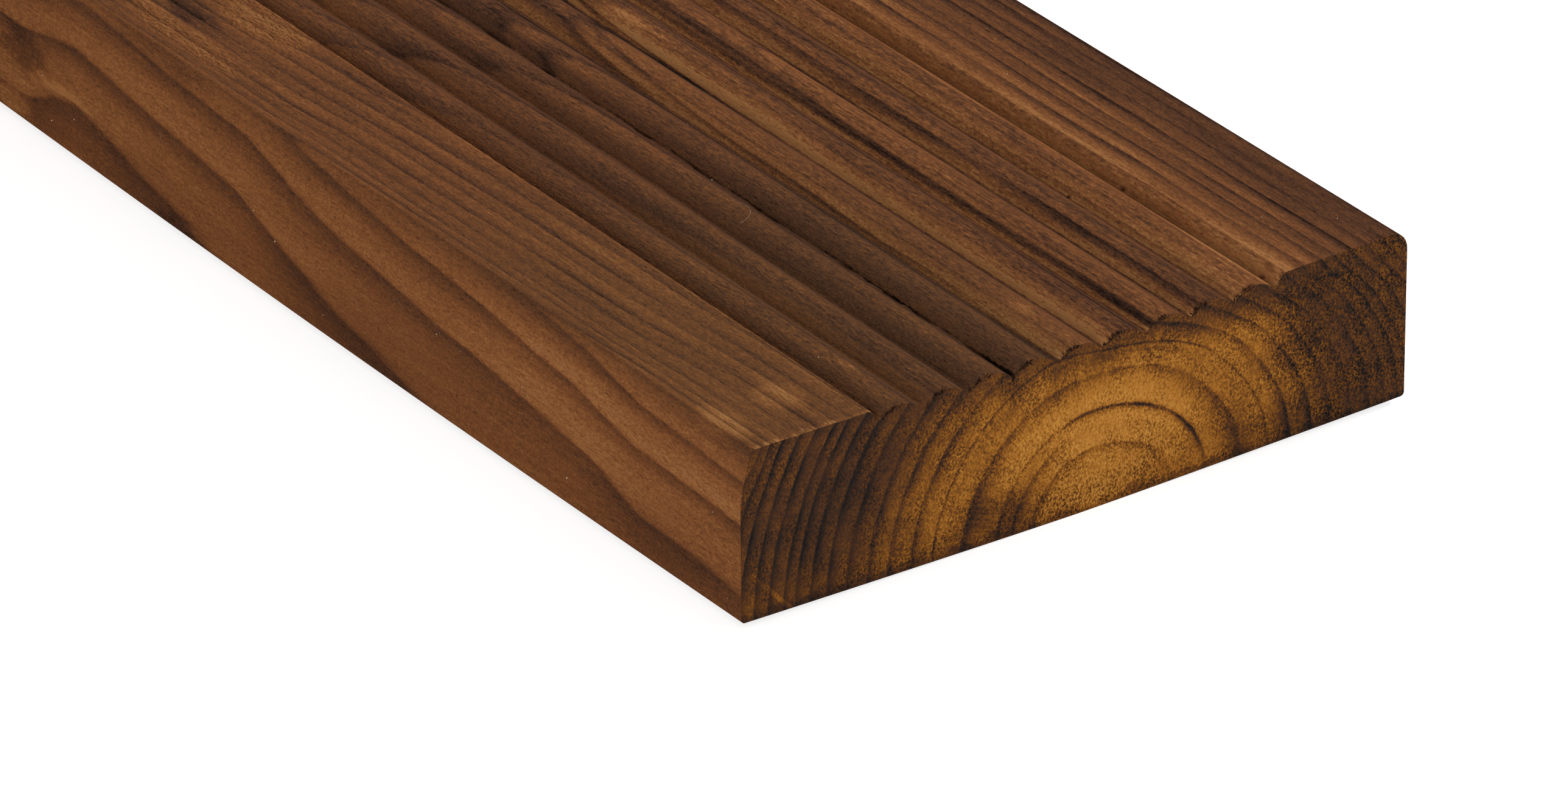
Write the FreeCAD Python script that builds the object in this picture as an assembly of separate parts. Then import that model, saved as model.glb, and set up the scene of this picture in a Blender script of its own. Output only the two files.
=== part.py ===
import FreeCAD, Part
import math
import os

# Reeded softwood decking board, one solid piece planed from one length of timber.
# Millimetres. X runs along the board, Y across it and Z up, with the reeded face on top.
# The origin is the middle of the underside.

# Driving dimensions

board_length = 2400.0
board_width = 120.0
board_thickness = 28.0

reed_count = 9
reed_pitch = 8.0  # from one crest to the next
reed_height = 1.6  # from a valley's floor up to the crests
crest_drop = 0.5  # the crests lie this far below the flat margins
valley_radius = 0.8  # hollow between two reeds
lip_radius = 2.0  # rounding where a margin rolls down into its first valley

top_arris_radius = 3.0
bottom_arris_radius = 1.0

# Levels and places that follow from them

crest_level = board_thickness - crest_drop
valley_level = crest_level - reed_height
side_y = board_width / 2
first_valley_y = -reed_count * reed_pitch / 2


def section_point(y, z):
    """A point of the cross-section, in the plane of the end that the extrusion starts from."""
    return FreeCAD.Vector(-board_length / 2, y, z)


def straight(start, end):
    return Part.LineSegment(section_point(*start), section_point(*end)).toShape()


def round_part(centre, radius, start_angle, end_angle):
    """An arc about centre, from one angle to another, counted from +Y towards +Z."""
    points = []
    for angle in (start_angle, (start_angle + end_angle) / 2, end_angle):
        y = centre[0] + radius * math.cos(angle)
        z = centre[1] + radius * math.sin(angle)
        points.append(section_point(y, z))
    return Part.Arc(*points).toShape()


def roll_span(depth, radius_sum):
    """How far a crest lies from the valley beside it, where their two arcs meet tangent."""
    return math.sqrt(2 * depth * radius_sum - depth ** 2)


def reeded_rolls():
    """The rolls of the top face from left to right, as [y, z, radius, is_hollow].

    A roll is the arc about one crest or one valley. The first and the last are the
    margins' lips, and each stands where its arc meets the outer valley's arc tangent.
    """
    radius_sum = ((reed_pitch / 2) ** 2 + reed_height ** 2) / (2 * reed_height)
    crest_radius = radius_sum - valley_radius
    lip_span = roll_span(board_thickness - valley_level, lip_radius + valley_radius)

    rolls = [[first_valley_y - lip_span, board_thickness, lip_radius, False]]
    for reed in range(reed_count):
        valley_y = first_valley_y + reed * reed_pitch
        rolls.append([valley_y, valley_level, valley_radius, True])
        rolls.append([valley_y + reed_pitch / 2, crest_level, crest_radius, False])
    rolls.append([-first_valley_y, valley_level, valley_radius, True])
    rolls.append([lip_span - first_valley_y, board_thickness, lip_radius, False])
    return rolls


def reeded_edges(rolls):
    """One arc for each roll, cut where it meets its neighbours."""
    slopes = [0.0]
    for left, right in zip(rolls, rolls[1:]):
        slopes.append(math.asin((right[0] - left[0]) / (left[2] + right[2])))
    slopes.append(0.0)

    edges = []
    for (y, z, radius, is_hollow), before, after in zip(rolls, slopes, slopes[1:]):
        if is_hollow:
            centre = (y, z + radius)
            edges.append(round_part(centre, radius, -math.pi / 2 - before, -math.pi / 2 + after))
        else:
            centre = (y, z - radius)
            edges.append(round_part(centre, radius, math.pi / 2 + before, math.pi / 2 - after))
    return edges


def left_side_edges(lip_y):
    """From the underside's left corner up the side and in to the lip of the left margin."""
    bottom_centre = (bottom_arris_radius - side_y, bottom_arris_radius)
    top_centre = (top_arris_radius - side_y, board_thickness - top_arris_radius)
    return [
        round_part(bottom_centre, bottom_arris_radius, 1.5 * math.pi, math.pi),
        straight((-side_y, bottom_centre[1]), (-side_y, top_centre[1])),
        round_part(top_centre, top_arris_radius, math.pi, math.pi / 2),
        straight((top_centre[0], board_thickness), (lip_y, board_thickness)),
    ]


def right_side_edges(lip_y):
    """From the lip of the right margin out, down the side and round to the underside."""
    bottom_centre = (side_y - bottom_arris_radius, bottom_arris_radius)
    top_centre = (side_y - top_arris_radius, board_thickness - top_arris_radius)
    return [
        straight((lip_y, board_thickness), (top_centre[0], board_thickness)),
        round_part(top_centre, top_arris_radius, math.pi / 2, 0.0),
        straight((side_y, top_centre[1]), (side_y, bottom_centre[1])),
        round_part(bottom_centre, bottom_arris_radius, 0.0, -math.pi / 2),
    ]


def board_section():
    """The closed outline of the sawn end."""
    rolls = reeded_rolls()
    edges = left_side_edges(rolls[0][0])
    edges += reeded_edges(rolls)
    edges += right_side_edges(rolls[-1][0])
    underside_y = side_y - bottom_arris_radius
    edges.append(straight((underside_y, 0.0), (-underside_y, 0.0)))
    return Part.Face(Part.Wire(edges))


def decking_board():
    """The section drawn out along the grain, with both ends sawn square."""
    return board_section().extrude(FreeCAD.Vector(board_length, 0, 0))


board = decking_board()

os.makedirs("parts", exist_ok=True)
board.exportStep("parts/board.step")
print("board volume", round(board.Volume), "valid", board.isValid())
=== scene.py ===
import itertools
import math
import bpy
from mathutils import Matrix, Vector


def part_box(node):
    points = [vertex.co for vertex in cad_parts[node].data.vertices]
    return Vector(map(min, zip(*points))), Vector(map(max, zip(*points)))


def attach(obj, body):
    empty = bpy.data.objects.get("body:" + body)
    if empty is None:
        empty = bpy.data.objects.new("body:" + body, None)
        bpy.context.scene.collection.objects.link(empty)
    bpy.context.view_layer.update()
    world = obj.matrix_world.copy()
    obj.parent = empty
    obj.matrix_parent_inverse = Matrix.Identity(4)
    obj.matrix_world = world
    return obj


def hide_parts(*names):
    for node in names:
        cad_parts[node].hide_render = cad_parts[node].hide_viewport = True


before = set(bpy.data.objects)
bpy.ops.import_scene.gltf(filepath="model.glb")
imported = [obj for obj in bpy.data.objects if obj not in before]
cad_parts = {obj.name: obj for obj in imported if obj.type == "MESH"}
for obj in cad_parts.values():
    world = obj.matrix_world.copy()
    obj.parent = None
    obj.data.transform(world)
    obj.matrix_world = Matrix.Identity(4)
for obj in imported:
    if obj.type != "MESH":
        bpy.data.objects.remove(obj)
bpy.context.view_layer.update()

boardLow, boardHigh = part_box("board")
boardLength, boardWidth, boardThickness = boardHigh - boardLow
mm = 0.001
print("frame loaded, board", [round(side / mm) for side in (boardLength, boardWidth, boardThickness)])


# A field is a number or a vector that varies over a mesh or a surface.
# Arithmetic on fields adds the nodes for it to their tree.
class Field:
    def __init__(self, tree, socket):
        self.tree = tree
        self.socket = socket

    def math(self, operation, other=None):
        node = self.tree.nodes.new("ShaderNodeMath")
        node.operation = operation
        feed(self.tree, node.inputs[0], self)
        feed(self.tree, node.inputs[1], other)
        return Field(self.tree, node.outputs[0])

    def __add__(self, other):
        return self.math("ADD", other)

    def __sub__(self, other):
        return self.math("SUBTRACT", other)

    def __mul__(self, other):
        return self.math("MULTIPLY", other)

    def __truediv__(self, other):
        return self.math("DIVIDE", other)

    def __pow__(self, other):
        return self.math("POWER", other)

    def __rsub__(self, other):
        return (self * -1) + other

    __radd__ = __add__
    __rmul__ = __mul__

    def squareRoot(self):
        return self.math("SQRT")

    def size(self):
        return self.math("ABSOLUTE")

    def over(self, limit):
        return self.math("GREATER_THAN", limit)

    def under(self, limit):
        return self.math("LESS_THAN", limit)

    def atLeast(self, limit):
        return self.math("MAXIMUM", limit)

    def atMost(self, limit):
        return self.math("MINIMUM", limit)

    # 0 at start and before it, 1 from end on, and smooth between; start may be the higher one
    def rise(self, start, end):
        node = self.tree.nodes.new("ShaderNodeMapRange")
        node.interpolation_type = "SMOOTHSTEP"
        for name, value in (("Value", self), ("From Min", start), ("From Max", end)):
            feed(self.tree, node.inputs[name], value)
        return Field(self.tree, node.outputs[0])

    # a at 0 and b at 1
    def between(self, a, b):
        node = self.tree.nodes.new("ShaderNodeMix")
        for entry, value in zip(node.inputs[:4], (self, None, a, b)):
            feed(self.tree, entry, value)
        return Field(self.tree, node.outputs[0])

    # the height of a line drawn through the points, which are pairs
    def along(self, points):
        lowX, highX = points[0][0], points[-1][0]
        highY = max(point[1] for point in points)
        node = self.tree.nodes.new("ShaderNodeFloatCurve")
        curve = node.mapping.curves[0]
        while len(curve.points) < len(points):
            curve.points.new(0.5, 0.5)
        for made, (x, y) in zip(curve.points, points):
            made.location = ((x - lowX) / (highX - lowX), y / highY)
            made.handle_type = "VECTOR"
        node.mapping.update()
        feed(self.tree, node.inputs["Value"], (self - lowX) * (1 / (highX - lowX)))
        return Field(self.tree, node.outputs[0]) * highY

    # a colour from stops of (value, colour)
    def colour(self, stops):
        low, high = stops[0][0], stops[-1][0]
        node = self.tree.nodes.new("ShaderNodeValToRGB")
        elements = node.color_ramp.elements
        while len(elements) < len(stops):
            elements.new(0.5)
        for element, (value, colour) in zip(elements, stops):
            element.position = (value - low) / (high - low)
            element.color = (*colour, 1)
        feed(self.tree, node.inputs[0], (self - low) * (1 / (high - low)))
        return Field(self.tree, node.outputs[0])

    # this colour mixed with, or multiplied by, another one
    def mixed(self, amount, other, how="MIX"):
        node = self.tree.nodes.new("ShaderNodeMix")
        node.data_type = "RGBA"
        node.blend_type = how
        feed(self.tree, node.inputs[0], amount)
        feed(self.tree, node.inputs[6], self)
        feed(self.tree, node.inputs[7], other if isinstance(other, Field) else (*other, 1))
        return Field(self.tree, node.outputs[2])

    # vector arithmetic, with a vector or a field
    def vector(self, operation, other=None):
        node = self.tree.nodes.new("ShaderNodeVectorMath")
        node.operation = operation
        feed(self.tree, node.inputs[0], self)
        if operation == "SCALE":
            feed(self.tree, node.inputs["Scale"], other)
        else:
            feed(self.tree, node.inputs[1], other)
        return Field(self.tree, node.outputs["Value" if operation == "LENGTH" else "Vector"])

    def parts(self):
        node = self.tree.nodes.new("ShaderNodeSeparateXYZ")
        feed(self.tree, node.inputs[0], self)
        return [Field(self.tree, output) for output in node.outputs]


def feed(tree, entry, value):
    if isinstance(value, Field):
        tree.links.new(value.socket, entry)
    elif value is not None:
        entry.default_value = value


def joined(x, y, z):
    tree = next(part.tree for part in (x, y, z) if isinstance(part, Field))
    node = tree.nodes.new("ShaderNodeCombineXYZ")
    for entry, value in zip(node.inputs, (x, y, z)):
        feed(tree, entry, value)
    return Field(tree, node.outputs[0])


# soft noise about 0, from about -0.5 to 0.5, with features of about the given size along each axis
def noise(place, size, seed, detail):
    x, y, z = (axis * (1 / width) for axis, width in zip(place, size))
    node = x.tree.nodes.new("ShaderNodeTexNoise")
    node.inputs["Scale"].default_value = 1.0
    node.inputs["Detail"].default_value = detail
    feed(x.tree, node.inputs["Vector"], joined(x + seed, y, z))
    return Field(x.tree, node.outputs[0]) - 0.5


# entries that are plain numbers, for newGroup
def numbers(**values):
    return [(name, "NodeSocketFloat", value) for name, value in values.items()]


# a node group; its entries are (name, kind, value) and its results are all of one kind
def newGroup(name, kind, entries, results, resultKind="NodeSocketFloat"):
    group = bpy.data.node_groups.new(name, kind)
    for title, sort, value in entries:
        socket = group.interface.new_socket(title, in_out="INPUT", socket_type=sort)
        if value is not None:
            socket.default_value = value
    for title in results:
        group.interface.new_socket(title, in_out="OUTPUT", socket_type=resultKind)
    start = group.nodes.new("NodeGroupInput")
    end = group.nodes.new("NodeGroupOutput")
    return group, {socket.name: Field(group, socket) for socket in start.outputs if socket.name}, end


def newMeshTree(name, entries):
    return newGroup(name, "GeometryNodeTree", entries, ("Geometry",), "NodeSocketGeometry")


def useGroup(tree, group, **values):
    kind = "ShaderNodeGroup" if group.bl_idname == "ShaderNodeTree" else "GeometryNodeGroup"
    node = tree.nodes.new(kind)
    node.node_tree = group
    for name, value in values.items():
        feed(tree, node.inputs[name], value)
    return {socket.name: Field(tree, socket) for socket in node.outputs}


# where a point of the timber lies, in millimetres: back from the sawn end, across and up
def timberPlace(tree):
    coordinates = tree.nodes.new("ShaderNodeTexCoord")
    x, y, z = Field(tree, coordinates.outputs["Object"]).parts()
    return (boardLength / 2 - x) * (1 / mm), y * (1 / mm), z * (1 / mm)


def meshAttribute(tree, name):
    node = tree.nodes.new("ShaderNodeAttribute")
    node.attribute_name = name
    return Field(tree, node.outputs["Fac"])


# Growth rings, all in millimetres from the pith, which runs just under the board.
# The tree grew thicker away from the sawn end, and that draws the flames on the faces.
rings = dict(
    pithAcross=3.5,
    pithUp=-2.3,
    # how far out the dark lines lie, and how much farther at a distance back from the sawn end
    lines=(0, 6, 12.5, 15.9, 18.5, 24.8, 28.7, 29.8, 33.8, 37.8, 41.4, 45, 48.4, 51.3, 53.9, 55.9, 58.6,
           61.1, 63.7, 66, 68.2, 70.3, 72.8, 75.4, 78, 81),
    sideSwelling=((0, 0), (27, 0.6), (42, 1.6), (67, 2.4), (90, 3), (106, 3.5), (118, 4), (132, 5.1),
                  (145, 5.4), (157, 5.6), (180, 6.1), (187, 5.8), (195, 5.2), (243, 5), (309, 4.2),
                  (375, 4)),
    reedSwelling=((0, 0), (60, 0.3), (95, 0.9), (112, 1.8), (126, 3.2), (142, 5), (160, 6.2), (180, 6.3),
                  (201, 5.6), (243, 5), (309, 4.2), (375, 4)),
    rightSwelling=0.06,  # share of the swelling that reaches the right margin
    rightStretch=1.02,  # high on the right the rings lie a little closer together
    rightBulge=1.4,  # and low on the right a little farther out
    topFlatness=2.6,  # under the right half of the top they lie flatter
    cornerStretch=1.9,  # and they follow the left side where it leans in
    knotPlace=(160, -33, 26),  # the rings swell out over a knot here
    knotReach=(26, 15, 16),
    knotSwelling=2.6,
    waves=1.1,
    flutter=0.6,
    sideCalm=0.45,  # the left side shows both of them smoother
    wanderReach=(220, 420),  # past the photographed stretch the pith wanders by itself
    wanderAcross=26,
    wanderUp=30,
)


def makeGrowthRings():
    entries = numbers(Back=0.0, Across=0.0, Up=0.0, Waviness=1.0)
    group, inputs, end = newGroup("growth rings", "ShaderNodeTree", entries, ("Radius", "Phase", "Strength"))
    back, across, up = inputs["Back"], inputs["Across"], inputs["Up"]

    hidden = back.rise(*rings["wanderReach"])
    drift = noise((back, 0, 0), (330, 1, 1), 4.3, 2.0) * hidden * rings["wanderAcross"]
    lift = noise((back, 0, 0), (270, 1, 1), 17.7, 2.0) * hidden * rings["wanderUp"]
    sideways = across - rings["pithAcross"] - drift
    sideways = sideways * (across.rise(10, 45) * up.rise(8, 24)).between(1.0, rings["rightStretch"])
    sideways = sideways - up.rise(22, 6) * across.rise(5, 16) * rings["rightBulge"]
    upwards = up - rings["pithUp"] - lift
    radius = (sideways * sideways + upwards * upwards).squareRoot()
    radius = radius + up.rise(19, 28) * across.rise(-6, 6) * rings["topFlatness"]
    radius = radius + up.rise(19, 31) * across.rise(-53, -57.5) * rings["cornerStretch"]
    reedSwelling, sideSwelling = back.along(rings["reedSwelling"]), back.along(rings["sideSwelling"])
    swelling = across.rise(-30, -46).between(reedSwelling, sideSwelling)
    swelling = swelling * across.rise(24, -16).between(rings["rightSwelling"], 1.0)
    fromKnot = joined(back, across, up).vector("SUBTRACT", rings["knotPlace"])
    knot = fromKnot.vector("DIVIDE", rings["knotReach"]).vector("LENGTH").rise(1.0, 0.1)
    swelling = swelling + knot * rings["knotSwelling"]
    waves = noise((back, across, up), (55, 13, 13), 2.0, 2.0) * rings["waves"]
    flutter = noise((back, across, up), (24, 2.2, 2.2), 8.0, 1.0) * rings["flutter"]
    calm = across.rise(-50, -59).between(1.0, rings["sideCalm"])
    radius = radius - swelling + (waves + flutter) * calm * inputs["Waviness"]

    # each ring has a number, a phase from 0 at one dark line to 1 at the next, and a strength of its own
    number = radius.along([(place, count) for count, place in enumerate(rings["lines"])])
    random = group.nodes.new("ShaderNodeTexWhiteNoise")
    random.noise_dimensions = "1D"
    feed(group, random.inputs["W"], number.math("FLOOR") + 3.5)
    feed(group, end.inputs["Radius"], radius)
    feed(group, end.inputs["Phase"], number.math("FRACT"))
    feed(group, end.inputs["Strength"], Field(group, random.outputs["Value"]))
    return group


# Fine structure of a planed face: fibres along the grain, short fuzz and small pits
def makeFibres():
    entries = numbers(Back=0.0, Across=0.0, Up=0.0)
    results = ("Streak", "Fuzz", "Specks", "Hairs", "Pits")
    group, inputs, end = newGroup("wood fibres", "ShaderNodeTree", entries, results)
    place = (inputs["Back"], inputs["Across"], inputs["Up"])
    streak = noise(place, (24, 0.8, 0.8), 31.0, 2.0)
    fuzz = noise(place, (1.5, 0.4, 0.4), 57.0, 2.0)
    specks = noise(place, (0.5, 0.28, 0.28), 113.0, 1.0)
    hairs = noise(place, (2.4, 0.2, 0.2), 75.0, 1.0).rise(0.1, 0.3)
    pits = noise(place, (1.5, 0.28, 0.28), 93.0, 1.0).rise(0.12, 0.3)
    for name, value in zip(results, (streak, fuzz, specks, hairs, pits)):
        feed(group, end.inputs[name], value)
    return group


growthRings = makeGrowthRings()
woodFibres = makeFibres()


def newMaterial(name, roughness, specular):
    material = bpy.data.materials.new(name)
    material.use_nodes = True
    tree = material.node_tree
    shader = tree.nodes["Principled BSDF"]
    shader.inputs["Roughness"].default_value = roughness
    shader.inputs["Specular IOR Level"].default_value = specular
    return material, tree, shader


def addBump(tree, shader, height, distance):
    bump = tree.nodes.new("ShaderNodeBump")
    bump.inputs["Distance"].default_value = distance
    feed(tree, bump.inputs["Height"], height)
    tree.links.new(bump.outputs["Normal"], shader.inputs["Normal"])


# 1 in the middle of an ellipsoid and 0 outside it
def spot(place, centre, reach):
    return place.vector("SUBTRACT", centre).vector("DIVIDE", reach).vector("LENGTH").rise(1.0, 0.35)


# The planed faces: brown treated softwood with soft dark late wood.
# A tone is a lightness, about the share of red that the eye sees; the wood's colour follows from it.
planed = dict(
    tones=((0.3, (0.012, 0.008, 0.0065)), (0.55, (0.038, 0.018, 0.0115)), (0.76, (0.072, 0.032, 0.018)),
           (0.85, (0.091, 0.039, 0.0205)), (1, (0.127, 0.051, 0.0225)), (1.14, (0.168, 0.064, 0.025)),
           (1.33, (0.235, 0.092, 0.033)), (1.6, (0.35, 0.156, 0.056))),
    # tone, contrast of the rings and strength of the fuzz, by the place across the board
    across=((-60.5, 1.22), (-59, 1.2), (-57.5, 1.05), (-37, 1.04), (-34, 0.88), (-22, 0.86), (-12, 0.78),
            (-6, 0.78), (1, 0.86), (3.6, 0.84), (5, 0.96), (7, 0.96), (9.5, 0.92), (12, 0.9), (14, 0.87),
            (19, 0.85), (24, 0.88), (31, 1), (33, 1.14), (34.5, 1.16), (35.6, 1.3), (37.3, 1.26),
            (38.5, 1.12), (42, 1.07), (50, 0.91), (60, 0.78)),
    contrast=((-60.5, 0.45), (-59, 0.45), (-57.5, 0.36), (-36, 0.25), (-30, 0.24), (-14, 0.26), (-7, 0.34),
              (0, 0.38), (30, 0.4), (38, 0.42), (60, 0.46)),
    fuzz=((-60.5, 0.4), (-57, 0.4), (-55, 0.6), (-37, 0.6), (-33, 0.36), (-2, 0.36), (6, 0.6), (60, 0.6)),
    # darkness within one ring, and its mean
    lateProfile=((0, 0.75), (0.05, 0.15), (0.12, 0), (0.4, 0.12), (0.65, 0.35), (0.85, 0.75), (0.95, 1),
                 (1, 1)),
    lateMean=0.35,
    patches=(0.22, 0.16),  # on the top and on the side
    specks=(0.5, 0.6),
    streaks=(0.24, 0.5),  # on the left reeds and on the right ones
    hairs=0.1,
    pits=0.24,
    # thin dark lines along the right reeds, of late wood, and where they lie in the valleys partly painted
    # shade: across, half width, strength
    darkLines=((-5.1, 1, 0.3), (-1.4, 0.4, 0.14), (3.4, 0.9, 0.34), (6.6, 0.4, 0.1), (10.5, 1, 0.22),
               (12.9, 0.5, 0.2), (14.6, 0.4, 0.12), (19.4, 0.8, 0.14), (24.8, 0.9, 0.18), (27.5, 0.5, 0.1),
               (30.7, 0.5, 0.16)),
    lineWander=1.2,
    paintedFlankLight=(0.12, 0.7),  # painted light, partly the wood's paler tone: how much the low sides facing left are lightened against their shade, on the left reeds and on the right ones
    # pale tips of early wood along the reeds: across, half width, end, strength
    fingers=((-0.2, 2.7, 130, 0.14), (6.6, 2.3, 134, 0.11), (17.4, 1.7, 107, 0.2), (-7.6, 2.6, 139, 0.1),
             (-15.6, 2.6, 147, 0.08), (25.6, 1.4, 76, 0.1), (33.2, 1, 62, 0.08)),
    crackAcross=-11.7,
    crackTone=0.55,
    grainRelief=0.16 * mm,
    # places that differ: (back, across, up), (reach), tone, how torn the surface is
    spots=(
        ((11.5, -45.2, 28.6), (6, 5, 3), 0.26, 0.3),
        ((9.5, -56, 28.6), (8, 3, 3), 0.34, 0.4),
        ((32, -60, 19), (50, 4, 11), 0.12, 0),
        ((95, -60, 5), (120, 4, 9), -0.1, 0),
        ((4, 3, 28), (26, 7, 6), 0.14, 0),
        ((4, 35, 28), (26, 9, 6), 0.16, 0),
        ((199.5, -60, 3.4), (8, 3, 3.2), 0.4, 0),
        ((183, -60, 11), (12, 2, 0.8), 0.24, 0),
        ((163.5, -60, 25.4), (6, 2, 0.9), 0.24, 0),
        ((114.5, -59.5, 28), (6, 1.5, 0.9), 0.24, 0),
        ((129, -60, 28), (7, 2.5, 2.2), 0.14, 0),
        ((150.5, -60, 2), (9, 3, 2.6), -0.16, 0),
        ((196, -60, 13.5), (9, 4, 5), -0.26, 1),
        ((157, -60.5, 27.5), (24, 4, 3), -0.26, 0),
        ((105, -60.5, 28), (9, 3, 1.4), -0.12, 0),
        ((50, -60.5, 28.2), (11, 3, 1.4), -0.12, 0),
        ((160, -52.8, 28.6), (24, 3, 5), 0.3, 2),
        ((157, -40.3, 28.3), (16, 5.5, 4), 0.3, 2),
        ((166, -47.5, 28.5), (11, 3.5, 4), -0.3, 0.5),
        ((124, -39.2, 28.3), (16, 0.6, 2), -0.22, 0),
        ((14, -0.3, 28), (4.5, 1.3, 2), 0.18, 0),
        ((14.5, -31, 28), (2.5, 1.2, 1.6), 0.22, 0),
        ((126, 7, 28), (6, 1.3, 1.6), 0.26, 0),
        ((40.9, 27.8, 26.6), (0.8, 0.4, 0.7), -0.6, 0),
        ((38, 35.7, 26.6), (0.8, 0.4, 0.7), -0.6, 0),
        ((16.7, 35.2, 26.6), (0.8, 0.4, 0.7), -0.6, 0),
        ((3.6, 35.6, 26.6), (0.9, 0.5, 0.7), -0.6, 0),
    ),
)


# a crack along the foot of a reed: a thin dark line in broken lengths, with slanting ticks
def crackMask(place):
    back, across = place[:2]
    line = across - planed["crackAcross"] - noise((back, 0, 0), (16, 1, 1), 3.0, 2.0)
    lengths = noise((back, 0, 0), (8, 1, 1), 61.0, 2.0).rise(-0.04, 0.04)
    lengths = lengths.atLeast(back.rise(8, 5)) * back.rise(150, 120)
    slanted = (back + line * 1.5) * (1 / 1.9) + noise((back, 0, 0), (5, 1, 1), 29.0, 1.0) * 2
    width = slanted.math("FRACT") * 0.16 + back.rise(7, 0) * 0.3 + 0.03
    return line.size().rise(width, width * 0.4) * lengths * back.rise(60, 12).between(0.6, 1.0)


def makePlanedFace():
    material, tree, shader = newMaterial("planed treated softwood", 0.7, 0.0)
    place = timberPlace(tree)
    back, across, up = place
    ring = useGroup(tree, growthRings, Back=back, Across=across, Up=up, Waviness=1.0)
    fibres = useGroup(tree, woodFibres, Back=back, Across=across, Up=up)
    streak, fuzz, specks = fibres["Streak"], fibres["Fuzz"], fibres["Specks"]
    late = ring["Phase"].along(planed["lateProfile"]) - planed["lateMean"]
    fading = (noise(place, (26, 6, 6), 12.0, 1.0) * 2.2 + 1).atLeast(0.2).atMost(1.5)
    onSide = across.rise(-57, -59)
    varied = onSide.between(ring["Strength"].between(0.5, 1.25) * fading, 1.0)
    contrast = across.along(planed["contrast"]) * varied
    patches = noise(place, (34, 7, 7), 71.0, 2.0) * onSide.between(*planed["patches"])
    tone = across.along(planed["across"]) - late * contrast + patches
    tone = tone + streak * across.rise(0, 8).between(*planed["streaks"]) + fibres["Hairs"] * planed["hairs"]
    tone = tone + fuzz * across.along(planed["fuzz"]) + specks * onSide.between(*planed["specks"])
    tone = tone - fibres["Pits"] * planed["pits"]
    # dark lines of late wood; those in the valleys are partly painted shade
    for middle, half, strength in planed["darkLines"]:
        wander = noise((back, 0, 0), (45, 1, 1), middle, 2.0) * planed["lineWander"]
        tone = tone - (across - middle - wander).size().rise(half, half * 0.3) * strength
    for middle, half, tip, strength in planed["fingers"]:
        taper = half * 5  # length of the pointed part
        aside = (across - middle) * (1 / half)
        ahead = (back - tip + taper).atLeast(0) * (1 / taper)
        reach = (aside * aside + ahead * ahead).squareRoot() + streak * 0.6 + fuzz * 0.3
        edge = reach.rise(1.5, 1.05) * reach.rise(0.95, 1.1) * back.rise(tip - 55, tip - 15)
        body = reach.rise(1.05, 0.75) * back.rise(tip - 75, tip - 15).between(0.2, 1.0)
        tone = tone + body * strength - edge * strength * 1.2

    warp = tree.nodes.new("ShaderNodeTexNoise")
    warp.inputs["Scale"].default_value = 1.0
    feed(tree, warp.inputs["Vector"], joined(back * 0.16, across * 0.5, up * 0.5))
    stray = Field(tree, warp.outputs["Color"]).vector("SUBTRACT", (0.5, 0.5, 0.5))
    here = joined(back, across, up)
    warped = here.vector("ADD", stray.vector("MULTIPLY", (14, 2.5, 2.5)))
    torn = 0
    for centre, reach, change, tear in planed["spots"]:
        mask = spot(warped if reach[0] > 8 else here, centre, reach)  # the large ones have ragged outlines
        tone = tone + mask * change
        if tear:
            torn = torn + mask * tear

    # painted light, partly the wood's own paler tone: low down in the hollows, the sides of the reeds that
    # face left are lightened against their shade, most of all on the right half
    hollow = meshAttribute(tree, "hollow")
    facesLeft = meshAttribute(tree, "facesLeft")
    depth = hollow.atLeast(0)
    leftPaintedLight, rightPaintedLight = planed["paintedFlankLight"]
    leftFlankLit = depth ** 0.8 * facesLeft.rise(-0.4, 0.5) * across.rise(3, -6)
    rightFlankLit = depth * facesLeft.rise(0.0, 0.35) * across.rise(-4.6, -3.6)
    tone = tone * (1 + leftFlankLit * leftPaintedLight) * (1 + rightFlankLit * rightPaintedLight)

    # the lips of the margins are frayed, and so is the left margin's sawn edge
    lip = hollow.rise(-0.31, -0.2) * hollow.rise(0.25, 0.0)
    frayed = back.rise(1.3, 0.2) * across.rise(-58, -57.2) * across.rise(-35, -37) * hollow.rise(-0.9, -0.8)
    tone = tone + lip * (fuzz + 0.1) * 0.6 + frayed * (fuzz * 2.5 + 0.35).atLeast(0) * 0.6
    crack = crackMask(place) * depth.rise(0.1, 0.3)
    tone = tone - crack * planed["crackTone"]

    colour = tone.colour(planed["tones"]).mixed(onSide, (1.02, 0.97, 0.93), "MULTIPLY")
    olive = back.rise(100, 40) * across.rise(-59, -56) * across.rise(4, -6)  # the left end is less red
    feed(tree, shader.inputs["Base Color"], colour.mixed(olive, (0.96, 1.03, 1.0), "MULTIPLY"))
    ripped = noise(place, (1.2, 0.6, 0.6), 23.0, 3.0) * torn * 5.0
    relief = fuzz * 0.9 + specks * 0.5 + streak * 0.4 + fibres["Hairs"] * 0.15 - fibres["Pits"] * 0.3
    addBump(tree, shader, relief + ripped - crack * 1.5, planed["grainRelief"])
    return material


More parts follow.
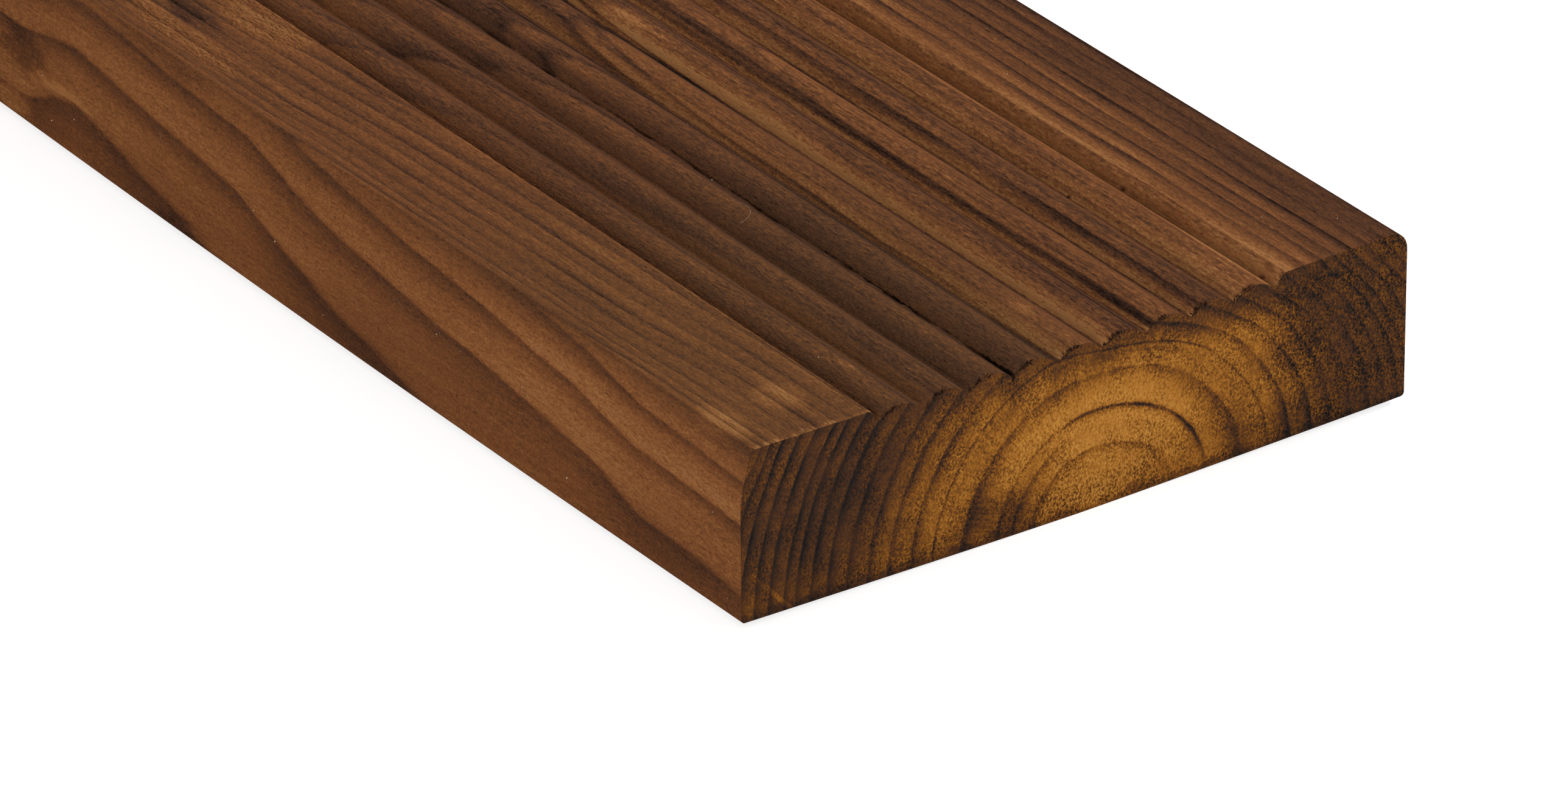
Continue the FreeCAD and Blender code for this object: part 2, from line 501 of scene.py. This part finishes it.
# The sawn end: golden heart, dark treated outer wood
sawnEnd = dict(
    tones=((0.35, (0.013, 0.0115, 0.0115)), (0.5, (0.03, 0.0185, 0.014)), (0.65, (0.052, 0.025, 0.015)),
           (0.8, (0.08, 0.0335, 0.0155)), (1, (0.127, 0.048, 0.0155)), (1.25, (0.205, 0.076, 0.0155)),
           (1.5, (0.305, 0.114, 0.0185)), (1.7, (0.402, 0.156, 0.0235)), (2.4, (0.64, 0.285, 0.055))),
    # tone and depth of the dark lines, by the distance from the pith
    zones=((0, 1.86), (5, 1.94), (12, 1.92), (14, 2.02), (20, 1.98), (25, 1.66), (31, 1.52), (36, 1.32),
           (40, 1.12), (43, 0.92), (50, 0.86), (60, 0.98), (80, 1.02)),
    lineDepth=((0, 0), (10, 0.05), (12.5, 0.52), (14, 0.12), (16.8, 0.12), (17.6, 0.7), (18.3, 0.95),
               (19.5, 0.35), (24.8, 0.46), (26, 0.15), (28.7, 0.1), (29.5, 0.5), (34, 0.5), (38, 0.46),
               (41, 0.36), (44, 0.28), (50, 0.36), (56, 0.46), (63, 0.46), (70, 0.4)),
    lateProfile=((0, 0.75), (0.05, 0.2), (0.1, 0), (0.4, 0.04), (0.62, 0.2), (0.78, 0.5), (0.9, 0.95),
                 (0.97, 1), (1, 0.95)),
    # places that differ: (across, up), (reach), tone
    spots=(
        ((-14, 4), (8, 5), -0.34),
        ((34, 3), (13, 6), -0.24),
        ((32, 20), (9, 6.5), 0.26),
        ((-6, 20), (16, 4), -0.1),
    ),
    blotches=0.45,
    mottle=0.36,
    grit=0.42,
    rays=0.7,
    # a scratch from this place, which runs down to the right
    scratchAcross=-57.9,
    scratchUp=8.3,
    scratchWay=(0.672, 0.741),
    scratchLength=10.3,
    topRim=6.5,  # the treatment went this deep under the reeds
    bottomRim=1.9,
    cellRelief=0.5 * mm,
)


def makeSawnEnd():
    material, tree, shader = newMaterial("sawn end grain", 0.7, 0.02)
    place = timberPlace(tree)
    back, across, up = place
    ring = useGroup(tree, growthRings, Back=back, Across=across, Up=up, Waviness=0.5)
    cells = noise(place, (0.45, 0.45, 0.45), 91.0, 2.0)
    pores = noise(place, (0.3, 0.3, 0.3), 7.0, 1.0)
    blotches = noise(place, (8, 4.5, 4.5), 27.0, 2.0)
    radius = ring["Radius"]
    sideways, upwards = across - rings["pithAcross"], up - rings["pithUp"]
    angle = upwards.math("ARCTAN2", sideways)

    # the heart is duller towards the underside, and some places differ
    inner = radius.rise(46, 38)
    steepness = upwards / radius.atLeast(1)
    low = steepness.rise(0.88, 0.36) * radius.rise(29, 23)
    left = across.rise(-8, -22)
    zone = radius.along(sawnEnd["zones"]) - low * left.between(0.36, 0.5)
    zone = zone - steepness.rise(0.3, 0.05) * inner * 0.12
    zone = zone - radius.rise(10.5, 12.5) * radius.rise(18.6, 17) * sideways.rise(-4, -10) * 0.22
    layers = up.rise(8, 4) * 0.13 - up.rise(10, 14) * up.rise(22, 18) * 0.09
    zone = zone + left * radius.rise(34, 38) * layers
    flat = joined(0, across, up)
    for (middle, height), (half, tall), change in sawnEnd["spots"]:
        zone = zone + spot(flat, (0, middle, height), (1, half, tall)) * change

    # dark lines of late wood, wider towards the left
    late = ring["Phase"].along(sawnEnd["lateProfile"])
    late = late ** (radius.rise(42, 50) * left).between(1.0, 0.6)
    fading = (noise(place, (20, 7, 7), 14.0, 1.0) * 2.0 + 1).atLeast(0.2)
    broken = (cells * 0.5 + 1).atLeast(0.5)
    depth = radius.along(sawnEnd["lineDepth"]) * (1 - radius.rise(40, 46) * (1 - left) * 0.3)
    darkArc = radius.rise(20.5, 19.5) * radius.rise(14, 16)  # the second ring is darkest up on its right
    depth = depth * darkArc.between(1.0, sideways.rise(-14, 8).between(0.5, 1.3))
    depth = depth + radius.rise(13, 15) * radius.rise(17.5, 16.5) * sideways.rise(-2, -8) * 0.35
    depth = depth * (1 - up.rise(9, 1) * sideways.rise(6, 14) * radius.rise(34, 28) * 0.5)
    tone = zone - late * depth * fading * broken

    # rays, grit and mottle
    rays = noise((angle * 40, radius, 0), (0.45, 6, 1), 3.0, 1.0) * radius.rise(8, 14) * radius.rise(34, 24)
    smoothHeart = radius.rise(27, 22) * up.rise(8, 14)  # the saw left the middle smoother
    rough = noise(place, (9, 5, 5), 49.0, 1.0).rise(-0.15, 0.15)
    grit = smoothHeart.between(1.0, 0.75) * rough.between(0.5, 1.0) * radius.rise(16, 8).between(1.0, 1.3)
    grit = grit * across.rise(32, 40).between(1.0, 1.7)
    mottle = noise((angle * 28, radius, 0), (1.0, 2.6, 1), 37.0, 2.0)
    specks = cells.rise(-0.16, 0.16) - 0.5 + (pores.rise(-0.16, 0.16) - 0.5) * 0.8
    smooth = 1 - late * radius.rise(40, 46) * left * 0.6  # the dark lines on the left are smooth
    stipple = blotches * sawnEnd["blotches"] + mottle * sawnEnd["mottle"]
    stipple = stipple + specks * grit * zone * sawnEnd["grit"]
    tone = tone + stipple * smooth + rays * sawnEnd["rays"]

    # a scratch across the lower left corner, on the photographed end alone
    right, down = across - sawnEnd["scratchAcross"], sawnEnd["scratchUp"] - up
    aslant, steep = sawnEnd["scratchWay"]
    length = sawnEnd["scratchLength"]
    onward = right * aslant + down * steep
    aside = right * steep - down * aslant + cells * 0.5
    scratch = aside.size().rise(0.55, 0.2) * onward.rise(-0.2, 0.3) * onward.rise(length + 0.2, length - 0.5)
    tone = tone + scratch * back.rise(9, 5) * (blotches * 2 + 0.6).atLeast(0.2) * 0.7

    # the treatment darkened a ragged rim along the top and along the bottom
    ragged = blotches * 3.2 + mottle * 2.0 + cells * 1.6
    topRim = (meshAttribute(tree, "underTop") + ragged).rise(sawnEnd["topRim"], 0.5) * inner
    bottomRim = (meshAttribute(tree, "overBottom") + ragged).rise(sawnEnd["bottomRim"], 0.3)
    tone = tone * (1 - topRim * radius.rise(36, 30).between(0.22, 0.34)) * (1 - bottomRim * 0.3)
    feed(tree, shader.inputs["Base Color"], tone.colour(sawnEnd["tones"]))
    addBump(tree, shader, (cells + pores * 0.7) * grit, sawnEnd["cellRelief"])
    return material


planedFace = makePlanedFace()
sawnFace = makeSawnEnd()
print("materials made")


# The board: a box of many small faces, drawn to the reeded section by a rule
board = dict(
    sideInset=0.3 * mm,  # this board came out a little narrower and thicker than its stock size
    swell=0.6 * mm,
    reedCount=9,
    reedPitch=7.88 * mm,
    reedHeight=1.6 * mm,
    crestDrop=0.5 * mm,
    valleyRadius=0.6 * mm,
    lipRadius=1.5 * mm,
    leftArris=0.5 * mm,
    rightArris=3 * mm,
    bottomArris=0.6 * mm,
    leftLean=2.0 * mm,  # the left side leans in under its top edge
    leanStart=19.0 * mm,
    leftBow=0.8 * mm,
    bowLength=205 * mm,
    topCup=0.3 * mm,
    bottomCup=0.92 * mm,
    reedColumns=18,  # columns of faces over one reed
    marginColumns=18,
    arrisColumns=7,
    heightRows=29,
    nearStations=148,  # stations along the photographed stretch
    nearLength=240 * mm,
    nearStep=0.2 * mm,
    farStations=22,
    gather=0.6,  # columns gather in the valleys
    marginGather=2.2,  # and on the margins towards the reeds
    crackDepth=0.9 * mm,
    crackHalfWidth=0.28 * mm,
    tornReach=0.9 * mm,  # the saw tore the top edge: this far back,
    tornDepth=0.9 * mm,  # down
    tornLength=0.5 * mm,  # and in
    sawDents=0.2 * mm,
)

# what the top's profile needs, besides width and thickness
profileNames = ("reedPitch", "reedHeight", "crestDrop", "valleyRadius", "lipRadius", "topCup")


def boardNumbers(names):
    width = boardWidth - 2 * board["sideInset"]
    thickness = boardThickness + board["swell"]
    return numbers(Width=width, Thickness=thickness, **{name: board[name] for name in names})


# height of a circle's arc over its centre, at a distance from the centre line
def arcHeight(radius, offset):
    return (radius * radius - offset * offset).atLeast(0).squareRoot()


# the reeded top, as far out as the arrises: its height over a line across the board
def makeTopProfile():
    entries = numbers(Across=0.0) + boardNumbers(profileNames)
    group, inputs, end = newGroup("reeded top", "GeometryNodeTree", entries, ("Height", "Hollow"))
    half = inputs["Across"].size()
    pitch, thickness = inputs["reedPitch"], inputs["Thickness"]
    crest = thickness - inputs["crestDrop"]
    valley = crest - inputs["reedHeight"]
    valleyRadius, lipRadius = inputs["valleyRadius"], inputs["lipRadius"]
    halfPitch = pitch * 0.5
    outerValley = pitch * (board["reedCount"] / 2)
    radiusSum = (halfPitch * halfPitch + inputs["reedHeight"] ** 2) / (inputs["reedHeight"] * 2)
    crestRadius = radiusSum - valleyRadius
    inReeds = half.under(outerValley)
    outside = (half - outerValley).atLeast(0)
    fromValley = inReeds.between(outside, (half - halfPitch).math("PINGPONG", halfPitch))
    depth = inputs["reedHeight"] + inputs["crestDrop"]
    lipSpan = (depth * (lipRadius + valleyRadius) * 2 - depth * depth).squareRoot()
    hollow = valley + valleyRadius - arcHeight(valleyRadius, fromValley)
    reedTop = crest - crestRadius + arcHeight(crestRadius, halfPitch - fromValley)
    lipTop = thickness - lipRadius + arcHeight(lipRadius, (lipSpan - outside).atLeast(0))
    span = inReeds.between(lipSpan, halfPitch)
    radiusHere = inReeds.between(lipRadius + valleyRadius, radiusSum)
    inHollow = fromValley.under(span * valleyRadius / radiusHere)
    height = inHollow.between(inReeds.between(lipTop, reedTop), hollow)
    rise = inputs["topCup"] * (half * half * 4 / (inputs["Width"] * inputs["Width"]) - 1)
    feed(group, end.inputs["Height"], height + rise)
    feed(group, end.inputs["Hollow"], (crest - height) / inputs["reedHeight"])
    return group


topProfile = makeTopProfile()


# the top's profile at a distance from the board's centre line
def topAt(tree, inputs, half):
    sizes = {name: inputs[name] for name in ("Width", "Thickness", *profileNames)}
    return useGroup(tree, topProfile, Across=half, **sizes)


fullTurn = 2 * math.pi


# up to 1 on the sides of the reeds that face left, and down to -1 on those that face right
def facingLeft(inputs, half, side):
    return (half * fullTurn / inputs["reedPitch"]).math("SINE") * side * -1


# how far the left side bows out, at a distance back from the sawn end and at a height
def sideBow(inputs, back, up):
    bow = (back * math.pi / inputs["bowLength"]).atMost(math.pi).math("SINE") * inputs["leftBow"]
    return bow * up.rise(inputs["Thickness"], inputs["Thickness"] * 0.4)


def realized(tree, geometry, materials):
    node = tree.nodes.new("GeometryNodeRealizeInstances")
    tree.links.new(geometry, node.inputs[0])
    geometry = node.outputs[0]
    for material, selection in materials:
        paint = tree.nodes.new("GeometryNodeSetMaterial")
        tree.links.new(geometry, paint.inputs["Geometry"])
        feed(tree, paint.inputs["Material"], material)
        feed(tree, paint.inputs["Selection"], selection)
        geometry = paint.outputs[0]
    return geometry


def stored(tree, geometry, name, value):
    node = tree.nodes.new("GeometryNodeStoreNamedAttribute")
    tree.links.new(geometry, node.inputs["Geometry"])
    node.inputs["Name"].default_value = name
    feed(tree, node.inputs["Value"], value)
    return node.outputs[0]


def makeBoardTree():
    names = ("leftArris", "rightArris", "bottomArris", "leftLean", "leanStart", "leftBow", "bowLength",
             "bottomCup", "crackDepth")
    entries = numbers(Length=boardLength, Seed=5.0) + boardNumbers((*profileNames, *names))
    entries += [("Faces", "NodeSocketMaterial", None), ("Ends", "NodeSocketMaterial", None)]
    tree, inputs, end = newMeshTree("reeded board", entries)
    pitch, thickness, width = inputs["reedPitch"], inputs["Thickness"], inputs["Width"]
    reedEdge = board["reedCount"] * board["reedColumns"] // 2
    marginEdge = reedEdge + board["marginColumns"]
    columns = marginEdge + board["arrisColumns"]
    stations = board["nearStations"] + board["farStations"]
    outerValley = pitch * (board["reedCount"] / 2)

    cube = tree.nodes.new("GeometryNodeMeshCube")
    for axis, count in (("X", stations), ("Y", 2 * columns), ("Z", board["heightRows"])):
        cube.inputs["Vertices " + axis].default_value = count + 1
    boxX, boxY, boxZ = Field(tree, tree.nodes.new("GeometryNodeInputPosition").outputs[0]).parts()

    # the box is 1 across on each side; the faces of its two ends are noted while they are flat
    rim = 0.4999
    noted = tree.nodes.new("GeometryNodeCaptureAttribute")
    noted.domain = "FACE"
    noted.capture_items.new("BOOLEAN", "isEnd")
    tree.links.new(cube.outputs["Mesh"], noted.inputs["Geometry"])
    feed(tree, noted.inputs[1], boxX.size().over(rim))
    geometry, isEnd = noted.outputs["Geometry"], Field(tree, noted.outputs[1])

    # stations along the board, close together at the photographed end
    station = (0.5 - boxX) * stations
    beyond = (station - board["nearStations"]).atLeast(0)
    near = station.atMost(board["nearStations"])
    bend = (board["nearLength"] - board["nearStep"] * board["nearStations"]) / board["nearStations"] ** 2
    farStep = (inputs["Length"] - board["nearLength"]) * (1 / board["farStations"])
    back = near * board["nearStep"] + near * near * bend + beyond * farStep

    # columns across, close together in the valleys and round the arrises
    column = boxY.size() * (2 * columns)
    side = boxY.math("SIGN")
    topArris = boxY.over(0).between(inputs["leftArris"], inputs["rightArris"])
    reeds = column.atMost(reedEdge) * (1 / board["reedColumns"])
    reedY = pitch * (reeds + (reeds * fullTurn).math("SINE") * (board["gather"] / fullTurn))
    isLeft = boxY.under(0)
    lean = inputs["leftLean"] * isLeft
    marginWidth = width * 0.5 - lean - topArris - outerValley
    marginPart = ((column - reedEdge) * (1 / board["marginColumns"])).atMost(1).atLeast(0)
    turn = ((column - marginEdge) * (1 / board["arrisColumns"])).atLeast(0) * (math.pi / 2)
    half = reedY + marginWidth * marginPart ** board["marginGather"] + topArris * turn.math("SINE")
    across = half * side

    profile = topAt(tree, inputs, half)
    top = profile["Height"] - topArris * (1 - turn.math("COSINE"))

    # a long broken crack in a valley, widest at the sawn end
    place = (back * (1 / mm) + inputs["Seed"], across * (1 / mm), 0)
    onTop = boxZ.over(rim)
    crackLengths = noise(place, (8, 1000, 1), 61.0, 2.0).rise(0.0, 0.08).atLeast(back.rise(13 * mm, 8 * mm))
    crack = (across - planed["crackAcross"] * mm).size().rise(board["crackHalfWidth"], 0.08 * mm)
    crack = crack * crackLengths * back.rise(60 * mm, 12 * mm).between(0.3, 1.0) * onTop
    top = top - crack * inputs["crackDepth"]

    # the saw tore the top edge of the sawn end
    nearEdge = back.rise(board["tornReach"], 0.0)
    chips = noise(place, (0.5, 0.45, 1), 19.0, 2.0)
    leftward = facingLeft(inputs, half, side)
    tear = leftward.rise(-0.3, 0.8).between(0.25, 1.0) * half.under(36 * mm).between(0.5, 1.0)
    top = top - nearEdge * (chips + 0.2).atLeast(0) * tear * board["tornDepth"]

    # the underside, with its small arrises and the cup of the dried board
    bottomArris = inputs["bottomArris"]
    edge = width * 0.5 - lean
    past = (half - edge + bottomArris).atLeast(0)
    bottom = bottomArris - arcHeight(bottomArris, past)
    bottom = bottom + inputs["bottomCup"] * (half / edge) ** 1.3
    up = bottom + (top - bottom) * (boxZ + 0.5)

    # the left side leans in at the top, and lower down it bows out along the board
    leaning = ((up - inputs["leanStart"]) / (thickness - inputs["leanStart"])).atLeast(0).atMost(1)
    across = across * ((width * 0.5 - lean * leaning ** 1.5) / edge)
    across = across - isLeft * sideBow(inputs, back, up) * (half / edge) ** 2

    # the sawn face is a little rough
    sawn = boxX.over(rim) * boxZ.size().under(rim) * boxY.size().under(rim)
    dents = noise((across * (1 / mm), up * (1 / mm), 0), (1.1, 1.1, 1), 83.0, 2.0)
    forward = inputs["Length"] * 0.5 - back - sawn * (dents + 0.5).atLeast(0) * board["sawDents"]
    forward = forward - nearEdge * onTop * (chips + 0.1).atLeast(0) * tear * board["tornLength"]

    geometry = stored(tree, geometry, "underTop", (top - up) * (1 / mm))
    geometry = stored(tree, geometry, "overBottom", (up - bottom) * (1 / mm))
    geometry = stored(tree, geometry, "hollow", profile["Hollow"] * onTop - (1 - onTop))
    geometry = stored(tree, geometry, "facesLeft", leftward * half.under(outerValley))
    moved = tree.nodes.new("GeometryNodeSetPosition")
    tree.links.new(geometry, moved.inputs["Geometry"])
    feed(tree, moved.inputs["Position"], joined(forward, across, up))

    corner = tree.nodes.new("GeometryNodeInputMeshEdgeAngle")
    sharp = Field(tree, corner.outputs["Unsigned Angle"]).under(math.radians(60))
    smooth = tree.nodes.new("GeometryNodeSetShadeSmooth")
    smooth.domain = "EDGE"
    tree.links.new(moved.outputs[0], smooth.inputs["Geometry"])
    feed(tree, smooth.inputs["Shade Smooth"], sharp)
    geometry = realized(tree, smooth.outputs[0], ((inputs["Faces"], None), (inputs["Ends"], isEnd)))
    tree.links.new(geometry, end.inputs[0])
    return tree


# runs a tree on an empty mesh and keeps its result as a plain mesh
def meshFromTree(name, tree, **values):
    piece = bpy.data.objects.new(name, bpy.data.meshes.new(name))
    bpy.context.collection.objects.link(piece)
    modifier = piece.modifiers.new("shape", "NODES")
    modifier.node_group = tree
    for entry in tree.interface.items_tree:
        if entry.item_type == "SOCKET" and entry.in_out == "INPUT" and entry.name in values:
            modifier[entry.identifier] = values[entry.name]
    evaluated = piece.evaluated_get(bpy.context.evaluated_depsgraph_get())
    mesh = bpy.data.meshes.new_from_object(evaluated)
    piece.modifiers.remove(modifier)
    piece.data = mesh
    mesh.name = name
    return piece


reededBoard = meshFromTree("reededBoard", makeBoardTree(), Faces=planedFace, Ends=sawnFace)
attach(reededBoard, "root")
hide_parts("board")
triangles = sum(len(face.vertices) - 2 for face in reededBoard.data.polygons)
print("board made,", triangles, "triangles")


# Loose bits: torn fibre ends, pale crumbs and stray hairs.
# Each call of draw gives every copy a random number of its own, with the next seed.
def randomDraws(tree, firstSeed):
    seeds = itertools.count(firstSeed)

    def draw(low, high):
        node = tree.nodes.new("FunctionNodeRandomValue")
        for entry, value in ((2, low), (3, high), ("Seed", next(seeds))):
            feed(tree, node.inputs[entry], value)
        return Field(tree, node.outputs[1])

    return draw


# copies of a small shape at places over the board, kept where a random number is under their share
def scatter(tree, inputs, end, draw, shape, place, share, turn, scale):
    line = tree.nodes.new("GeometryNodeMeshLine")
    feed(tree, line.inputs["Count"], inputs["Count"])
    moved = tree.nodes.new("GeometryNodeSetPosition")
    tree.links.new(line.outputs[0], moved.inputs["Geometry"])
    feed(tree, moved.inputs["Position"], joined(*place))
    copies = tree.nodes.new("GeometryNodeInstanceOnPoints")
    tree.links.new(moved.outputs[0], copies.inputs["Points"])
    tree.links.new(shape, copies.inputs["Instance"])
    feed(tree, copies.inputs["Selection"], draw(0.0, 1.0).under(share))
    feed(tree, copies.inputs["Rotation"], joined(*turn))
    feed(tree, copies.inputs["Scale"], joined(scale, scale, scale))
    tree.links.new(realized(tree, copies.outputs[0], ((inputs["Wood"], None),)), end.inputs[0])
    return tree


def newScatterTree(title, piece):
    entries = [("Count", "NodeSocketInt", piece["count"]), ("Wood", "NodeSocketMaterial", None)]
    entries += numbers(Length=boardLength, Size=piece["size"])
    entries += boardNumbers((*profileNames, "leftBow", "bowLength"))
    return newMeshTree(title, entries)


def looseMaterial(name, dark, light):
    material, tree, shader = newMaterial(name, 0.8, 0.0)
    shade = noise(timberPlace(tree), (0.9, 0.9, 0.9), 41.0, 1.0).rise(-0.2, 0.25)
    feed(tree, shader.inputs["Base Color"], shade.colour(((0, dark), (1, light))))
    return material


tornFibres = dict(
    count=1500,
    size=0.7 * mm,
    thickness=0.15 * mm,
    reach=57.4 * mm,
    seed=12,
    dark=(0.014, 0.009, 0.007),
    light=(0.075, 0.034, 0.016),
)


# dark splinters on the sawn top edge, most on the sides of the reeds that face left
def makeTornTree():
    tree, inputs, end = newScatterTree("torn fibres", tornFibres)
    draw = randomDraws(tree, tornFibres["seed"])
    cone = tree.nodes.new("GeometryNodeMeshCone")
    cone.inputs["Vertices"].default_value = 4
    cone.inputs["Radius Bottom"].default_value = tornFibres["thickness"]
    feed(tree, cone.inputs["Depth"], inputs["Size"])
    across = draw(-tornFibres["reach"], tornFibres["reach"])
    half = across.size()
    leftward = facingLeft(inputs, half, across.math("SIGN"))
    inReeds = half.under(inputs["reedPitch"] * 4.7)
    clump = noise((across * (1 / mm), 0, 0), (2.5, 1, 1), 5.0, 1.0) * 1.6
    corner = across.rise(-56.2 * mm, -57 * mm) * 0.9
    share = inReeds.between(corner.atLeast(0.07), leftward.rise(-0.4, 0.7)) * (1 + clump)
    down = draw(0.0, 0.7 * mm) * inReeds.between(1.0, 0.7)
    up = topAt(tree, inputs, half)["Height"] - down
    place = (inputs["Length"] * 0.5 + draw(-0.3 * mm, 0.12 * mm), across, up)
    turn = (draw(-0.9, 0.9), draw(-0.4, 1.5), draw(-3.1, 3.1))
    scale = draw(0.35, 1.0) * inReeds.between(0.6, 1.0)
    return scatter(tree, inputs, end, draw, cone.outputs[0], place, share, turn, scale)


crumbs = dict(
    count=110,
    share=0.8,
    size=0.14 * mm,
    span=190 * mm,
    seed=31,
    dark=(0.2, 0.12, 0.07),
    light=(0.75, 0.62, 0.48),
)


# pale crumbs of dry wood on the top and on the left side
def makeCrumbTree():
    tree, inputs, end = newScatterTree("wood crumbs", crumbs)
    draw = randomDraws(tree, crumbs["seed"])
    grain = tree.nodes.new("GeometryNodeMeshIcoSphere")
    feed(tree, grain.inputs["Radius"], inputs["Size"])
    grain.inputs["Subdivisions"].default_value = 1
    back = draw(0.03, 1.0) ** 1.6 * crumbs["span"]
    onSide = draw(0.0, 1.0).under(0.35)
    topAcross = draw(-56 * mm, 56 * mm)
    sideUp = draw(2.5 * mm, 18 * mm)
    sideAcross = inputs["Width"] * -0.5 - sideBow(inputs, back, sideUp)
    across = onSide.between(topAcross, sideAcross)
    up = onSide.between(topAt(tree, inputs, topAcross.size())["Height"], sideUp)
    turn = [draw(-3.1, 3.1) for axis in range(3)]
    scale = draw(0.3, 0.75) ** 2 * 2
    place = (inputs["Length"] * 0.5 - back, across, up)
    return scatter(tree, inputs, end, draw, grain.outputs[0], place, crumbs["share"], turn, scale)


hairs = dict(
    count=9,
    share=2,  # all of them
    size=2.4 * mm,
    thickness=0.02 * mm,
    seed=57,
    dark=(0.22, 0.14, 0.09),
    light=(0.42, 0.3, 0.22),
)


# curled hairs of fibre that cling to the left side, and one that lies over the reeds
def makeHairTree():
    tree, inputs, end = newScatterTree("stray hairs", hairs)
    draw = randomDraws(tree, hairs["seed"])
    arc = tree.nodes.new("GeometryNodeCurveArc")
    arc.inputs["Resolution"].default_value = 9
    feed(tree, arc.inputs["Radius"], inputs["Size"])
    arc.inputs["Sweep Angle"].default_value = 2.1
    ring = tree.nodes.new("GeometryNodeCurvePrimitiveCircle")
    ring.inputs["Resolution"].default_value = 3
    ring.inputs["Radius"].default_value = hairs["thickness"]
    tube = tree.nodes.new("GeometryNodeCurveToMesh")
    tree.links.new(arc.outputs[0], tube.inputs["Curve"])
    tree.links.new(ring.outputs[0], tube.inputs["Profile Curve"])
    tube.inputs["Fill Caps"].default_value = True
    index = Field(tree, tree.nodes.new("GeometryNodeInputIndex").outputs[0])
    onReeds = index.under(0.5)
    back = onReeds.between(draw(45 * mm, 200 * mm), 63 * mm)
    sideUp = draw(3 * mm, 20 * mm)
    sideAcross = inputs["Width"] * -0.5 - sideBow(inputs, back, sideUp) - 0.03 * mm
    across = onReeds.between(sideAcross, -18.6 * mm)
    up = onReeds.between(sideUp, inputs["Thickness"] - 0.6 * mm)
    turn = (onReeds.between(math.pi / 2, 0.15), draw(-0.05, 0.05), draw(-0.06, 0.06))
    scale = onReeds.between(draw(0.25, 0.95), 1.5)
    place = (inputs["Length"] * 0.5 - back, across, up)
    return scatter(tree, inputs, end, draw, tube.outputs[0], place, hairs["share"], turn, scale)


looseBits = (
    ("tornFibres", makeTornTree(), tornFibres),
    ("woodCrumbs", makeCrumbTree(), crumbs),
    ("strayHairs", makeHairTree(), hairs),
)
for name, tree, piece in looseBits:
    bits = meshFromTree(name, tree, Wood=looseMaterial(name, piece["dark"], piece["light"]))
    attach(bits, "root")
    print(name, "made,", len(bits.data.polygons), "faces")


# Floor, lights and camera
studio = dict(
    floorSize=12.0,
    floorColour=(0.82, 0.82, 0.82),
    floorGlow=0.7,  # for the camera only, so that the floor shows white
    worldStrength=0.36,
    lampSize=1.0,
    # place from the sawn end, and power
    lamps=(("key", (-0.5, 1.6, 1.25), 40), ("fill", (1.5, -1.6, 0.55), 25)),
)


def makeStudio():
    half = studio["floorSize"] / 2
    mesh = bpy.data.meshes.new("floor")
    corners = [(-half, -half, 0), (half, -half, 0), (half, half, 0), (-half, half, 0)]
    mesh.from_pydata(corners, [], [(0, 1, 2, 3)])
    floor = bpy.data.objects.new("floor", mesh)
    bpy.context.collection.objects.link(floor)
    floor.location.z = boardLow.z

    material, tree, shader = newMaterial("pale floor", 0.9, 0.0)
    shader.inputs["Base Color"].default_value = (*studio["floorColour"], 1)
    glow = tree.nodes.new("ShaderNodeEmission")
    glow.inputs["Strength"].default_value = studio["floorGlow"]
    seen = tree.nodes.new("ShaderNodeAddShader")
    tree.links.new(shader.outputs[0], seen.inputs[0])
    tree.links.new(glow.outputs[0], seen.inputs[1])
    choice = tree.nodes.new("ShaderNodeMixShader")
    feed(tree, choice.inputs[0], cameraRay(tree))
    tree.links.new(shader.outputs[0], choice.inputs[1])
    tree.links.new(seen.outputs[0], choice.inputs[2])
    tree.links.new(choice.outputs[0], tree.nodes["Material Output"].inputs["Surface"])
    mesh.materials.append(material)

    world = bpy.data.worlds.new("studio air")
    bpy.context.scene.world = world
    world.use_nodes = True
    air = world.node_tree
    background = air.nodes["Background"]
    background.inputs["Color"].default_value = (1, 1, 1, 1)
    feed(air, background.inputs["Strength"], cameraRay(air).between(studio["worldStrength"], 1.0))

    sawnEndPlace = Vector((boardHigh.x, 0, 0))
    for name, place, power in studio["lamps"]:
        light = bpy.data.lights.new(name, "AREA")
        light.shape = "SQUARE"
        light.size = studio["lampSize"]
        light.energy = power
        lamp = bpy.data.objects.new(name, light)
        bpy.context.collection.objects.link(lamp)
        lamp.location = Vector(place) + sawnEndPlace
        aim = sawnEndPlace - lamp.location
        lamp.rotation_euler = aim.to_track_quat("-Z", "Y").to_euler()


# 1 for what the camera sees straight or in a gloss, 0 for light on the object
def cameraRay(tree):
    path = tree.nodes.new("ShaderNodeLightPath")
    seen = Field(tree, path.outputs["Is Camera Ray"])
    for name in ("Is Glossy Ray", "Is Transmission Ray"):
        seen = seen.atLeast(Field(tree, path.outputs[name]))
    return seen


view = dict(
    place=(2.33542, -0.83691, 0.77518),
    turnDegrees=(61.81455, 0.35384, 55.15588),
    lens=253.691,
)


def makeCamera():
    data = bpy.data.cameras.new("camera")
    data.lens = view["lens"]
    data.sensor_width = 36
    data.clip_start = 0.01
    data.clip_end = 100
    camera = bpy.data.objects.new("camera", data)
    camera.location = view["place"]
    camera.rotation_euler = [math.radians(angle) for angle in view["turnDegrees"]]
    bpy.context.collection.objects.link(camera)
    bpy.context.scene.camera = camera


makeStudio()
makeCamera()
bpy.context.scene.view_settings.view_transform = "Standard"
print("studio and camera made")
